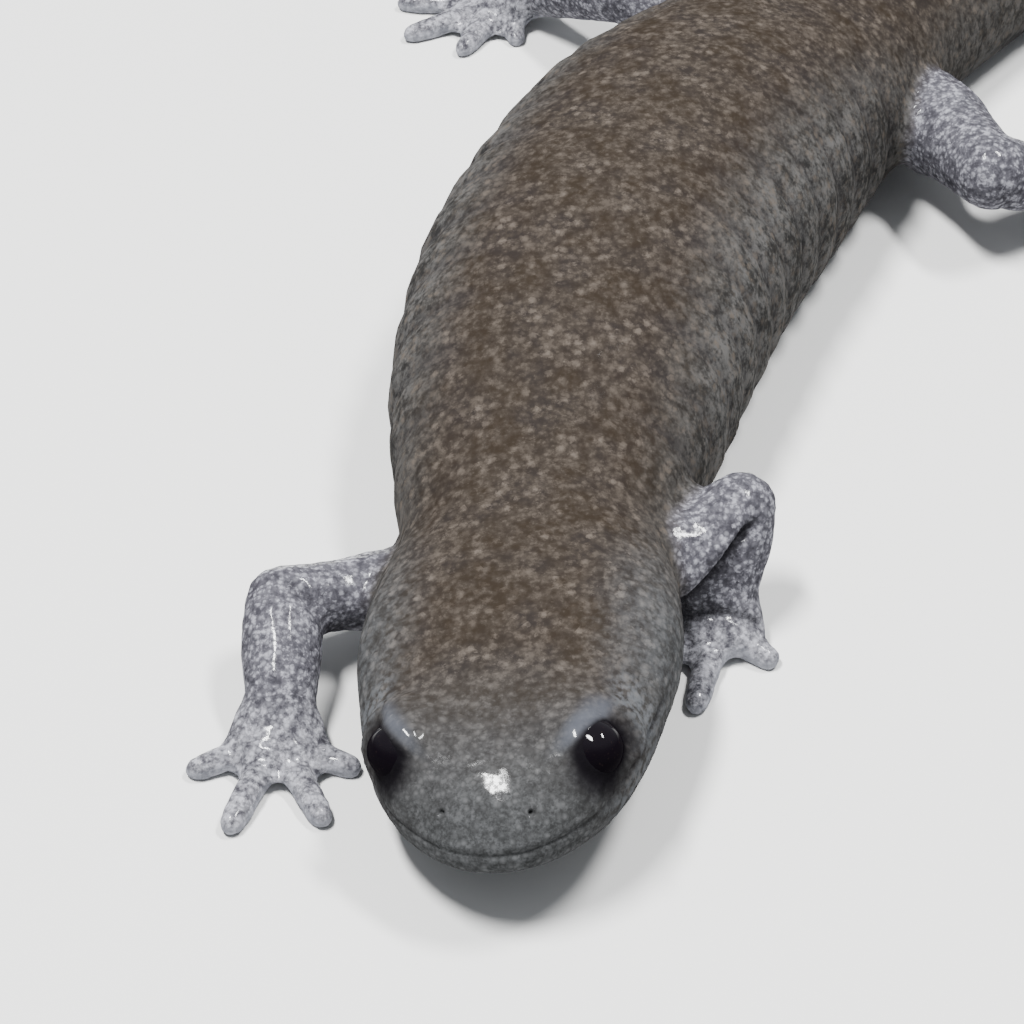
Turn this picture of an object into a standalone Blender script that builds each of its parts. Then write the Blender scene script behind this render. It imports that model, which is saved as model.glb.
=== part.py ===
"""A streamside salamander at life size, resting with its body bent to one side and its head low.

The animal faces -Y, its left side is +X, and its belly, feet and tail rest on Z = 0.
All sizes here are millimetres. A mesh is turned into metres when it is made.
"""

import math

import bmesh
import bpy
import numpy as np
from mathutils import Vector

MM = 0.001
GAP = 0.3
WELD = 0.003

# Lengths along the back from the snout's tip
WIDEST_HEAD = 11.9
HEAD_END = 14.8
NECK_END = 17.0
CHEST_END = 40.0
TORSO_END = 59.5
PELVIS_END = 68.0
TAIL_BASE_END = 90.0
TAIL_MIDDLE_END = 113.0
TAIL_END = 137.0

SNOUT_ROUND = 11.0
SNOUT_PROFILE_ROUND = 3.4
SNOUT_TIP_HEIGHT = 3.9
TAIL_TIP_ROUND = 7.0
TAIL_LAST_RING = 0.15

# Along the back: station, half width, top, height of the widest line, underside
STATIONS = np.array(
    [
        (0.0, 6.60, 6.10, 4.10, 2.60),
        (3.6, 6.60, 6.90, 4.20, 2.05),
        (7.4, 6.60, 7.60, 4.40, 1.60),
        (11.9, 6.75, 8.30, 4.50, 1.30),
        (15.6, 6.50, 8.60, 4.40, 1.10),
        (18.6, 5.95, 8.80, 4.20, 0.70),
        (22.4, 6.65, 9.60, 4.60, -0.10),
        (30.0, 8.10, 11.50, 5.20, -0.40),
        (38.0, 8.60, 12.60, 5.50, -0.40),
        (46.0, 8.50, 12.60, 5.50, -0.40),
        (54.0, 7.60, 11.60, 5.10, -0.35),
        (61.0, 6.10, 9.80, 4.50, -0.25),
        (68.0, 4.40, 8.60, 4.10, -0.20),
        (78.0, 3.40, 8.10, 3.90, -0.20),
        (95.0, 2.70, 7.60, 3.60, -0.20),
        (113.0, 1.95, 6.30, 3.00, -0.20),
        (126.0, 1.30, 4.45, 2.10, -0.20),
        (137.0, 0.75, 1.60, 0.65, -0.20),
    ]
)

# How square the section is above and below its widest line, where 2 is an ellipse
SQUARENESS = np.array(
    [
        (0.0, 2.3, 2.4),
        (12.0, 2.4, 2.5),
        (24.0, 2.2, 2.6),
        (46.0, 2.15, 2.7),
        (66.0, 2.0, 2.5),
        (80.0, 1.75, 2.2),
        (137.0, 1.7, 2.1),
    ]
)

# Which way the back runs, in degrees from +Y towards +X
HEADINGS = np.array(
    [
        (0.0, 8.5),
        (13.0, 5.5),
        (20.0, 5.0),
        (30.0, 11.0),
        (40.0, 21.0),
        (50.0, 31.0),
        (60.0, 38.0),
        (72.0, 45.0),
        (88.0, 46.0),
        (105.0, 32.0),
        (122.0, 8.0),
        (137.0, -18.0),
    ]
)

# The head leans over, its left side up, and the lean fades out behind the neck
HEAD_LEAN = 8.0
LEAN_HEIGHT = 4.5
LEAN_FADES_FROM = 13.0
LEAN_GONE_AT = 26.0

# Swellings of the head: station, distance from the middle, height, spread, rise
BROW = (5.1, 3.8, 6.9, 1.45, 0.55)
CHEEK = (12.6, 5.0, 6.6, 2.2, 0.35)
UPPER_LIP = (2.8, 5.0, 4.8, 1.6, 0.12)

GROOVE_COUNT = 13
FIRST_GROOVE = 23.5
GROOVE_SPACING = 2.75
GROOVE_DEPTH = 0.13
GROOVE_WIDTH = 0.75
THROAT_FOLD = 15.9
THROAT_FOLD_DEPTH = 0.45
THROAT_FOLD_WIDTH = 0.6

EYE_RADIUS = 1.32
EYE_STATION = 4.5
EYE_SIDE = 3.98
EYE_HEIGHT = 6.15
EYE_LOOK = (0.76, -0.36, 0.54)
LID_THICK = 0.27
LID_OPENING = 66.0

NOSTRIL_STATION = 1.35
NOSTRIL_SIDE = 1.85
NOSTRIL_RADIUS = 0.26

# The line of the mouth: station and height, from before the snout to its corner
MOUTH_LINE = ((-1.0, 4.4), (1.2, 4.38), (3.0, 4.25), (4.6, 4.15), (7.0, 4.15), (8.6, 3.8))
JAW_BACK_FOOT = (10.0, -1.0)
JAW_CUT_REACH = 9.0

HEAD_SIDES = 36
TRUNK_SIDES = 28
TAIL_SIDES = 20
LIMB_SIDES = 14
TOE_SIDES = 9

SKIN_DARK = (0.085, 0.078, 0.075)
SKIN_GREY = (0.16, 0.16, 0.18)
SKIN_BELLY = (0.11, 0.115, 0.13)
EYE_BLACK = (0.006, 0.005, 0.007)


def smooth_through(x, knots, values):
    """A smooth curve through the knots that never overshoots them."""
    x = np.clip(np.asarray(x, float), knots[0], knots[-1])
    step = np.diff(knots)
    slope = np.diff(values) / step
    at_knot = np.zeros(len(knots))
    at_knot[0], at_knot[-1] = slope[0], slope[-1]
    same_way = slope[:-1] * slope[1:] > 0
    inner = np.zeros(len(slope) - 1)
    inner[same_way] = (
        2 * slope[:-1][same_way] * slope[1:][same_way] / (slope[:-1] + slope[1:])[same_way]
    )
    at_knot[1:-1] = inner
    k = np.clip(np.searchsorted(knots, x, side="right") - 1, 0, len(step) - 1)
    t = (x - knots[k]) / step[k]
    rise = step[k] * ((t**3 - 2 * t**2 + t) * at_knot[k] + (t**3 - t**2) * at_knot[k + 1])
    return (2 * t**3 - 3 * t**2 + 1) * values[k] + (3 * t**2 - 2 * t**3) * values[k + 1] + rise


def make_spine(step=0.1):
    """Stations and the plan position of the back at each, with the head's widest point at 0, 0."""
    stations = np.arange(-2.0, TAIL_END + 2.0, step)
    headings = np.radians(smooth_through(stations, HEADINGS[:, 0], HEADINGS[:, 1]))
    x = np.cumsum(np.sin(headings)) * step
    y = np.cumsum(np.cos(headings)) * step
    x -= np.interp(WIDEST_HEAD, stations, x)
    y -= np.interp(WIDEST_HEAD, stations, y)
    return stations, x, y


SPINE_STATIONS, SPINE_X, SPINE_Y = make_spine()


def body_point(station, across, height):
    """The place of a point of the body: its station, its distance to the animal's left, and its height."""
    fade = np.clip((station - LEAN_FADES_FROM) / (LEAN_GONE_AT - LEAN_FADES_FROM), 0, 1)
    lean = math.radians(HEAD_LEAN) * (1 - fade * fade * (3 - 2 * fade))
    above = height - LEAN_HEIGHT
    side = across * np.cos(lean) - above * np.sin(lean)
    up = LEAN_HEIGHT + across * np.sin(lean) + above * np.cos(lean)
    heading = np.radians(smooth_through(station, HEADINGS[:, 0], HEADINGS[:, 1]))
    x = np.interp(station, SPINE_STATIONS, SPINE_X) + side * np.cos(heading)
    y = np.interp(station, SPINE_STATIONS, SPINE_Y) - side * np.sin(heading)
    return np.stack(np.broadcast_arrays(x, y, up), axis=-1)


def rounded(share):
    """How far a quarter of an ellipse has opened at this share of its length."""
    return np.sqrt(1 - (1 - np.clip(share, 0, 1)) ** 2)


def section(station):
    """Half width, top, widest height and underside of the body at a station."""
    width, top, widest, under = (
        float(smooth_through(station, STATIONS[:, 0], STATIONS[:, k])) for k in (1, 2, 3, 4)
    )
    end = float(rounded((TAIL_END - station) / TAIL_TIP_ROUND))
    width *= float(rounded(station / SNOUT_ROUND)) * end
    snout = float(rounded(station / SNOUT_PROFILE_ROUND))
    top = SNOUT_TIP_HEIGHT + (top - SNOUT_TIP_HEIGHT) * snout
    widest = SNOUT_TIP_HEIGHT + (widest - SNOUT_TIP_HEIGHT) * snout
    under = SNOUT_TIP_HEIGHT - (SNOUT_TIP_HEIGHT - under) * snout
    top = widest + (top - widest) * end
    return width, top, widest, under


def surface_relief(station, across, height, half_width):
    """How far the skin stands out from the plain section, by its swellings and grooves."""
    relief = np.zeros_like(across)
    for at, side, up, spread, rise in (BROW, CHEEK, UPPER_LIP):
        for hand in (-1, 1):
            away = (station - at) ** 2 + (across - hand * side) ** 2 + (height - up) ** 2
            relief += rise * np.exp(-away / (2 * spread**2))
    flank = np.clip(np.abs(across) / max(half_width, 0.1), 0, 1) ** 3
    for k in range(GROOVE_COUNT):
        off = station - (FIRST_GROOVE + k * GROOVE_SPACING)
        relief -= GROOVE_DEPTH * flank * math.exp(-((off / GROOVE_WIDTH) ** 2))
    throat = np.clip((SNOUT_TIP_HEIGHT + 1 - height) / 3, 0, 1)
    off = station - THROAT_FOLD
    relief -= THROAT_FOLD_DEPTH * throat * math.exp(-((off / THROAT_FOLD_WIDTH) ** 2))
    return relief


def back_surface(station, across):
    """The point of the upper surface at a station and a distance from the middle."""
    half_width, top, widest, _ = section(station)
    above = float(smooth_through(station, SQUARENESS[:, 0], SQUARENESS[:, 1]))
    share = (1 - (abs(across) / half_width) ** above) ** (1 / above)
    return body_point(station, across, widest + (top - widest) * share)


def ring(station, sides, grow=0.0):
    """One ring of points round the body, from its left side over the back."""
    half_width, top, widest, under = section(station)
    above, below = (
        float(smooth_through(station, SQUARENESS[:, 0], SQUARENESS[:, k])) for k in (1, 2)
    )
    turn = np.arange(sides) * 2 * math.pi / sides
    c, s = np.cos(turn), np.sin(turn)
    power = np.where(s >= 0, 2 / above, 2 / below)
    across = half_width * np.sign(c) * np.abs(c) ** power
    reach = np.where(s >= 0, top - widest, widest - under)
    height = widest + reach * np.sign(s) * np.abs(s) ** power
    outward = surface_relief(station, across, height, half_width) + grow
    size = np.maximum(np.hypot(across, height - widest), 1e-6)
    across, height = across + outward * across / size, height + outward * (height - widest) / size
    points = body_point(station, across, height)
    points[:, 2] = np.maximum(points[:, 2], -grow)
    return points


def closed_tube(rings, start=None, end=None):
    """Vertices and faces of a tube through the rings, closed at each end by a fan round a point."""
    sides = len(rings[0])
    points = [p for r in rings for p in r]
    faces = []
    for k in range(len(rings) - 1):
        for j in range(sides):
            a, b = k * sides + j, k * sides + (j + 1) % sides
            faces.append((a, b, b + sides, a + sides))
    first, last = 0, (len(rings) - 1) * sides
    points.append(np.mean(rings[0], axis=0) if start is None else start)
    points.append(np.mean(rings[-1], axis=0) if end is None else end)
    for j in range(sides):
        after = (j + 1) % sides
        faces.append((len(points) - 2, first + after, first + j))
        faces.append((len(points) - 1, last + j, last + after))
    return points, faces


def material(name, colour, roughness):
    made = bpy.data.materials.new(name)
    made.use_nodes = True
    shader = made.node_tree.nodes["Principled BSDF"]
    shader.inputs["Base Color"].default_value = (*colour, 1.0)
    shader.inputs["Roughness"].default_value = roughness
    shader.inputs["Metallic"].default_value = 0.0
    return made


def add_object(name, points, faces, look=None):
    """A mesh object from points in millimetres, with its faces turned outwards."""
    mesh = bpy.data.meshes.new(name)
    mesh.from_pydata([[float(v) * MM for v in p] for p in points], [], faces)
    shape = bmesh.new()
    shape.from_mesh(mesh)
    bmesh.ops.recalc_face_normals(shape, faces=shape.faces)
    shape.to_mesh(mesh)
    shape.free()
    if look is not None:
        mesh.materials.append(look)
    made = bpy.data.objects.new(name, mesh)
    bpy.context.scene.collection.objects.link(made)
    return made


def bake_modifiers(obj):
    """Applies the object's modifiers to its own mesh."""
    bpy.context.view_layer.update()
    graph = bpy.context.evaluated_depsgraph_get()
    mesh = bpy.data.meshes.new_from_object(obj.evaluated_get(graph))
    obj.modifiers.clear()
    obj.data = mesh


def combine(obj, others, operation):
    """One Boolean of the object with a collection of closed meshes, which are then removed."""
    group = bpy.data.collections.new(obj.name + "_pieces")
    bpy.context.scene.collection.children.link(group)
    for other in others:
        bpy.context.scene.collection.objects.unlink(other)
        group.objects.link(other)
    cut = obj.modifiers.new("combine", "BOOLEAN")
    cut.operation = operation
    cut.operand_type = "COLLECTION"
    cut.collection = group
    cut.solver = "EXACT"
    bake_modifiers(obj)
    for other in others:
        bpy.data.objects.remove(other)
    bpy.data.collections.remove(group)


def keep_largest(obj):
    """Keeps only the largest closed surface of the object's mesh."""
    shape = bmesh.new()
    shape.from_mesh(obj.data)
    bmesh.ops.remove_doubles(shape, verts=shape.verts, dist=WELD * MM)
    bmesh.ops.dissolve_degenerate(shape, edges=shape.edges, dist=WELD * MM)
    left = set(shape.faces)
    shells = []
    while left:
        shell, edge = set(), [left.pop()]
        while edge:
            face = edge.pop()
            shell.add(face)
            for near in (f for e in face.edges for f in e.link_faces):
                if near in left:
                    left.remove(near)
                    edge.append(near)
        shells.append(shell)
    shells.sort(key=lambda shell: sum(f.calc_area() for f in shell))
    spare = [f for shell in shells[:-1] for f in shell]
    if spare:
        bmesh.ops.delete(shape, geom=spare, context="FACES")
    shape.to_mesh(obj.data)
    shape.free()


def cut_beyond(obj, place, way):
    """Cuts off what lies beyond the plane through the place, on the side that the way points to."""
    way = Vector(way).normalized()
    right = way.orthogonal().normalized() * CUT_REACH
    up = way.cross(right)
    near = [Vector(place) + right * i + up * j for i, j in ((-1, -1), (1, -1), (1, 1), (-1, 1))]
    far = [corner + way * CUT_REACH for corner in near]
    faces = [(0, 3, 2, 1), (4, 5, 6, 7)] + [(k, (k + 1) % 4, (k + 1) % 4 + 4, k + 4) for k in range(4)]
    combine(obj, [add_object(obj.name + "_cut", near + far, faces)], "DIFFERENCE")
    keep_largest(obj)


def body_length(name, start, end, sides, spacing, look):
    """One length of the body, with half the gap left off where it meets the next."""
    first = start + GAP / 2
    last = end - GAP / 2
    closes = end >= TAIL_END
    if closes:
        last = end - TAIL_LAST_RING
    count = max(2, round((last - first) / spacing) + 1)
    stations = np.linspace(first, last, count)
    rings = [ring(s, sides) for s in stations]
    tip = body_point(end, 0.0, section(end)[2]) if closes else None
    points, faces = closed_tube(rings, end=tip)
    return add_object(name, points, faces, look)


def ball(name, centre, radius, segments=20, rings=12, look=None):
    points, faces = [], []
    for k in range(1, rings):
        tilt = math.pi * k / rings
        for j in range(segments):
            turn = 2 * math.pi * j / segments
            place = (math.sin(tilt) * math.cos(turn), math.sin(tilt) * math.sin(turn), math.cos(tilt))
            points.append(np.array(centre) + radius * np.array(place))
    rows = [points[k * segments : (k + 1) * segments] for k in range(rings - 1)]
    pole = np.array((0, 0, radius))
    points, faces = closed_tube(rows, start=centre + pole, end=centre - pole)
    return add_object(name, points, faces, look)


def cone(name, tip, axis, half_angle, length, sides=28):
    """A cone that opens along its axis from its tip."""
    axis = Vector(axis).normalized()
    right = axis.orthogonal().normalized() * math.tan(math.radians(half_angle))
    up = axis.cross(right)
    tip = Vector(tip)
    turns = [2 * math.pi * k / sides for k in range(sides)]
    rows = [
        [tip + (axis + right * math.cos(t) + up * math.sin(t)) * reach for t in turns]
        for reach in (length * 0.5, length)
    ]
    points, faces = closed_tube(rows, start=tip, end=tip + axis * length)
    return add_object(name, points, faces)


def head_direction(across, along, up):
    """A direction given across the head, towards its back and upwards."""
    start = body_point(EYE_STATION, 0.0, EYE_HEIGHT)
    step = 0.01
    sideways = (body_point(EYE_STATION, step, EYE_HEIGHT) - start) / step
    backwards = (body_point(EYE_STATION + step, 0.0, EYE_HEIGHT) - start) / step
    upwards = (body_point(EYE_STATION, 0.0, EYE_HEIGHT + step) - start) / step
    return Vector(across * sideways + along * backwards + up * upwards).normalized()


def jaw_prism(name, clearance):
    """The space below the line of the mouth, as a slab right across the head."""
    line = [(s, h + clearance) for s, h in MOUTH_LINE[:-1]]
    corner = MOUTH_LINE[-1]
    line.append((corner[0] + clearance, corner[1] + clearance * 0.5))
    line.append((JAW_BACK_FOOT[0] + clearance, JAW_BACK_FOOT[1]))
    line.append((MOUTH_LINE[0][0], JAW_BACK_FOOT[1]))
    left = [body_point(s, JAW_CUT_REACH, h) for s, h in line]
    right = [body_point(s, -JAW_CUT_REACH, h) for s, h in line]
    n = len(line)
    faces = [(k, (k + 1) % n, n + (k + 1) % n, n + k) for k in range(n)]
    faces += [tuple(reversed(range(n))), tuple(range(n, 2 * n))]
    return add_object(name, left + right, faces)


def head_shape(name, look):
    """The whole head as one closed shape, mouth shut, before it is parted."""
    near_tip = [0.04, 0.16, 0.36, 0.64, 1.0, 1.45]
    stations = near_tip + list(np.linspace(2.0, HEAD_END - GAP / 2, 21))
    rings = [ring(s, HEAD_SIDES) for s in stations]
    tip = body_point(0.0, 0.0, SNOUT_TIP_HEIGHT)
    points, faces = closed_tube(rings, start=tip)
    return add_object(name, points, faces, look)


def make_head(skin, eye_look):
    """The head with its lids, nostrils and line of the mouth, the lower jaw and both eyes."""
    eyes, lids, hollows = [], [], []
    socket = EYE_RADIUS + GAP
    for hand, side in ((-1, "right"), (1, "left")):
        centre = body_point(EYE_STATION, hand * EYE_SIDE, EYE_HEIGHT)
        look = head_direction(hand * EYE_LOOK[0], EYE_LOOK[1], EYE_LOOK[2])
        lids.append(ball("lid_" + side, centre, socket + LID_THICK, 28, 18))
        hollows.append(ball("socket_" + side, centre, socket))
        hollows.append(cone("lid_opening_" + side, centre, look, LID_OPENING, 1.4))
        eyes.append(ball("eye_" + side, centre, EYE_RADIUS, look=eye_look))
        nostril = back_surface(NOSTRIL_STATION, hand * NOSTRIL_SIDE)
        hollows.append(ball("nostril_" + side, nostril, NOSTRIL_RADIUS, 10, 6))
    head = head_shape("head", skin)
    combine(head, lids, "UNION")
    combine(head, hollows, "DIFFERENCE")
    combine(head, [jaw_prism("below_mouth", GAP / 2)], "DIFFERENCE")
    keep_largest(head)
    jaw = head_shape("lower_jaw", skin)
    combine(jaw, [jaw_prism("jaw_space", -GAP / 2)], "INTERSECT")
    keep_largest(jaw)
    return [head, jaw, *eyes]


def curve_through(controls, count):
    """Evenly spaced points on a smooth curve through the control points."""
    controls = np.array(controls, float)
    ends = np.vstack([2 * controls[0] - controls[1], controls, 2 * controls[-1] - controls[-2]])
    fine = []
    for k in range(len(controls) - 1):
        a, b, c, d = ends[k : k + 4]
        for t in np.linspace(0, 1, 24, endpoint=False):
            bend = (2 * a - 5 * b + 4 * c - d) * t**2 + (3 * b - a - 3 * c + d) * t**3
            fine.append(0.5 * (2 * b + (c - a) * t + bend))
    fine.append(controls[-1])
    fine = np.array(fine)
    run = np.concatenate([[0], np.cumsum(np.linalg.norm(np.diff(fine, axis=0), axis=1))])
    even = np.linspace(0, run[-1], count)
    return np.stack([np.interp(even, run, fine[:, k]) for k in range(3)], axis=1)


def limb_rings(places, widths, heights, sides):
    """Rings square to a path, each an ellipse with its flatter way kept near upright."""
    rings = []
    for k, place in enumerate(places):
        ahead = Vector(places[min(k + 1, len(places) - 1)] - places[max(k - 1, 0)]).normalized()
        across = ahead.cross(Vector((0, 0, 1)))
        if across.length < 0.2:
            across = ahead.cross(Vector((0, 1, 0)))
        across.normalize()
        up = across.cross(ahead)
        turns = np.arange(sides) * 2 * math.pi / sides
        rings.append(
            [
                np.array(place)
                + np.array(across) * widths[k] * math.cos(t)
                + np.array(up) * heights[k] * math.sin(t)
                for t in turns
            ]
        )
    return rings


def round_ended(name, places, widths, heights, look=None, caps=(True, True)):
    """A limb's length as a tube along a path, with a round cap past each end that is asked for."""
    places, widths, heights = [np.array(p) for p in places], list(widths), list(heights)
    for at_start in (True, False):
        if not caps[0 if at_start else 1]:
            continue
        tip, inner = (places[0], places[1]) if at_start else (places[-1], places[-2])
        outward = (tip - inner) / np.linalg.norm(tip - inner)
        wide, high = (widths[0], heights[0]) if at_start else (widths[-1], heights[-1])
        for turn in CAP_TURNS:
            place = tip + outward * (wide + high) / 2 * math.sin(turn)
            row = (place, wide * math.cos(turn), high * math.cos(turn))
            spot = 0 if at_start else len(places)
            places.insert(spot, row[0])
            widths.insert(spot, row[1])
            heights.insert(spot, row[2])
    points, faces = closed_tube(limb_rings(places, widths, heights, LIMB_SIDES))
    return add_object(name, points, faces, look)


def toe(name, root, angle, length, radius):
    """A blunt toe lying on the floor from its root, turned this many degrees from -Y towards +X."""
    way = np.array((math.sin(math.radians(angle)), -math.cos(math.radians(angle)), 0.0))
    shares = (0.0, 0.3, 0.55, 0.78, 0.91, 0.975, 1.0)
    places, sizes = [], []
    for share in shares:
        place = root + way * length * share
        taper = radius * (1.12 - 0.22 * share)
        blunt = math.sqrt(max(1 - max((share - 0.82) / 0.185, 0) ** 2, 0.02))
        sizes.append(taper * blunt)
        knuckle = 0.14 * radius * math.sin(math.pi * min(share / 0.8, 1))
        place = place * np.array((1, 1, 0)) + np.array((0, 0, radius * 0.80 + knuckle - 0.1 * share))
        places.append(place)
    rings = limb_rings(places, sizes, sizes, TOE_SIDES)
    points, faces = closed_tube(rings)
    return add_object(name, points, faces)


# Each limb: the station, side and height of its root, its bend and ankle, the middle of its palm,
# the palm's half width and length, the way the foot points in degrees from -Y outwards, and its
# toes from the inner one out, as the way each points from the foot's, its reach and its radius.
LIMBS = {
    "front_right": {
        "root": (17.9, -1, 3.4),
        "bend": (-10.4, 4.75, 3.6),
        "ankle": (-10.35, 0.5, 1.8),
        "palm": (-10.5, -0.8),
        "palm_size": (2.2, 1.85),
        "points": 0.0,
        "radii": (1.8, 1.5, 1.6, 1.75, 1.5),
        "toes": ((-66, 3.95, 0.54), (-24.5, 5.4, 0.58), (19, 5.7, 0.6), (65, 4.15, 0.55)),
    },
    "front_left": {
        "root": (19.7, 1, 4.0),
        "bend": (9.7, 9.05, 5.4),
        "ankle": (8.85, 7.3, 2.1),
        "palm": (8.8, 6.35),
        "palm_size": (2.1, 1.6),
        "points": -22.0,
        "radii": (2.1, 1.65, 1.6, 1.75, 1.6),
        "toes": ((-74, 3.3, 0.5), (-34, 4.3, 0.54), (8, 5.2, 0.57), (74, 3.15, 0.57)),
    },
    "hind_right": {
        "root": (61.5, -1, 3.6),
        "bend": (5.6, 52.0, 5.0),
        "ankle": (1.3, 56.5, 2.1),
        "palm": (-0.6, 57.4),
        "palm_size": (2.15, 2.1),
        "points": 66.0,
        "radii": (2.5, 2.0, 1.85, 1.7, 1.5),
        "toes": ((-74, 3.5, 0.5), (-36, 5.2, 0.56), (-4, 6.3, 0.58), (27, 6.0, 0.57), (62, 4.1, 0.52)),
    },
    "hind_left": {
        "root": (61.5, 1, 3.6),
        "bend": (23.2, 35.6, 4.8),
        "ankle": (27.6, 38.4, 2.1),
        "palm": (29.3, 37.5),
        "palm_size": (2.15, 2.1),
        "points": 52.0,
        "radii": (2.5, 2.0, 1.85, 1.7, 1.5),
        "toes": ((-74, 3.5, 0.5), (-36, 5.2, 0.56), (-4, 6.3, 0.58), (27, 6.0, 0.57), (62, 4.1, 0.52)),
    },
}
ROOT_DEPTH = 3.4
CUT_REACH = 22.0
CAP_TURNS = (0.45, 0.85, 1.2, 1.42)
PALM_HEIGHT = 1.15
TOE_ROOT = 0.45


def body_clearance(name):
    """The body grown by the gap, from the back of the head to the tail's base, as a cutter."""
    stations = np.arange(7.0, PELVIS_END + 8.0, 0.9)
    points, faces = closed_tube([ring(s, TRUNK_SIDES, GAP) for s in stations])
    return add_object(name, points, faces)


def towards(angle):
    """The way on the floor that is turned this many degrees from -Y towards +X."""
    return np.array((math.sin(math.radians(angle)), -math.cos(math.radians(angle)), 0.0))


def make_foot(name, limb, hand, skin):
    """The palm or sole as one flat rounded tube out of the ankle, with its toes joined on."""
    ankle = np.array(limb["ankle"])
    palm = np.array((*limb["palm"], PALM_HEIGHT * 0.75))
    wide, long = limb["palm_size"]
    wrist = limb["radii"][4]
    ahead = towards(hand * limb["points"])
    middle = (ankle + palm) / 2 + np.array((0, 0, 0.1))
    places = [ankle, middle, palm, *(palm + ahead * long * share for share in (0.5, 0.8, 1.0))]
    widths = (wrist, (wrist + wide) / 2, wide, wide * 0.88, wide * 0.62, wide * 0.2)
    heights = [wrist, wrist * 0.85, *(PALM_HEIGHT * share for share in (1.0, 0.85, 0.62, 0.25))]
    foot = round_ended(name, places, widths, heights, skin, caps=(True, False))
    toes = []
    for k, (angle, reach, radius) in enumerate(limb["toes"]):
        turned = hand * (limb["points"] + angle)
        root = palm + towards(turned) * TOE_ROOT * wide
        toes.append(toe(f"{name}_toe_{k + 1}", root, turned, reach - TOE_ROOT * wide, radius))
    combine(foot, toes, "UNION")
    keep_largest(foot)
    return foot


def make_limb(name, limb, skin):
    """Upper limb, lower limb and foot, parted at the bend and the ankle by the gap."""
    station, hand, height = limb["root"]
    half_width = section(station)[0]
    inside = body_point(station, hand * (half_width - ROOT_DEPTH), height)
    outside = body_point(station, hand * (half_width + 0.3), height)
    bend, ankle = np.array(limb["bend"]), np.array(limb["ankle"])
    palm = np.array((*limb["palm"], PALM_HEIGHT * 0.75))
    root_radius, upper_radius, bend_radius, lower_radius, wrist = limb["radii"]
    upper_name, lower_name, foot_name = limb_names(name)

    places = curve_through([inside, outside, bend], 7)
    share = np.linspace(0, 1, 7)
    knots = np.array([0, 0.45, 0.75, 1.0])
    radii = smooth_through(share, knots, np.array([root_radius, root_radius, upper_radius, bend_radius]))
    upper = round_ended(upper_name, places, radii, radii, skin, caps=(False, True))
    share = np.linspace(0, 1, 6)
    places = bend + (ankle - bend) * share[:, None]
    radii = smooth_through(share, np.array([0, 0.4, 1.0]), np.array([bend_radius, lower_radius, wrist]))
    lower = round_ended(lower_name, places, radii, radii, skin)
    foot = make_foot(foot_name, limb, hand, skin)

    at_bend = Vector(bend - outside).normalized() + Vector(ankle - bend).normalized()
    at_ankle = Vector(ankle - bend).normalized() + Vector(palm - ankle).normalized()
    for piece, place, way in (
        (upper, bend, at_bend),
        (lower, bend, -at_bend),
        (lower, ankle, at_ankle),
        (foot, ankle, -at_ankle),
    ):
        cut_beyond(piece, Vector(place) - way.normalized() * GAP / 2, way)
    for piece in (lower, foot):
        cut_beyond(piece, (bend[0], bend[1], 0), (0, 0, -1))
    combine(upper, [body_clearance("clearance_" + name)], "DIFFERENCE")
    keep_largest(upper)
    return [upper, lower, foot]


def limb_names(name):
    end, side = name.split("_")
    if end == "front":
        return f"upper_arm_{side}", f"forearm_{side}", f"hand_{side}"
    return f"thigh_{side}", f"shin_{side}", f"foot_{side}"


def main():
    for old in list(bpy.data.objects):
        bpy.data.objects.remove(old)
    back = material("skin_back", SKIN_DARK, 0.3)
    grey = material("skin_limbs", SKIN_GREY, 0.3)
    tail = material("skin_tail", SKIN_BELLY, 0.3)
    eye = material("eye", EYE_BLACK, 0.05)

    parts = make_head(back, eye)
    for name, start, end, sides, spacing, look in (
        ("neck", HEAD_END, NECK_END, HEAD_SIDES, 0.5, back),
        ("chest", NECK_END, CHEST_END, TRUNK_SIDES, GROOVE_SPACING / 4, back),
        ("torso", CHEST_END, TORSO_END, TRUNK_SIDES, GROOVE_SPACING / 4, back),
        ("pelvis", TORSO_END, PELVIS_END, TRUNK_SIDES, 1.2, back),
        ("tail_base", PELVIS_END, TAIL_BASE_END, TAIL_SIDES, 1.9, tail),
        ("tail_middle", TAIL_BASE_END, TAIL_MIDDLE_END, TAIL_SIDES, 1.9, tail),
        ("tail_tip", TAIL_MIDDLE_END, TAIL_END, TAIL_SIDES, 1.7, tail),
    ):
        parts.append(body_length(name, start, end, sides, spacing, look))
    for name, limb in LIMBS.items():
        parts += make_limb(name, limb, grey)

    corners = np.array([v.co for part in parts for v in part.data.vertices])
    low, high = corners.min(axis=0), corners.max(axis=0)
    animal = bpy.data.objects.new("salamander", None)
    animal.location = (-(low[0] + high[0]) / 2, -(low[1] + high[1]) / 2, -low[2])
    bpy.context.scene.collection.objects.link(animal)
    for part in parts:
        part.parent = animal
        part.data.shade_smooth()
        part.data.set_sharp_from_angle(angle=math.radians(40))


main()
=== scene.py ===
"""The finish of a life-size streamside salamander: its wet, flecked skin and its dark eyes.

One skin covers the whole animal but for the eyes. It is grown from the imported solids, closed
over their gaps, then refined and carved where the animal shows lids, lips, nostrils and folds.
The animal's sizes and the camera's place are millimetres, and MM turns them into metres. The
floor and the lamps are given in metres.
"""

import math

import bpy
import numpy as np
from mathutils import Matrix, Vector
from mathutils.bvhtree import BVHTree
from mathutils.noise import noise


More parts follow.
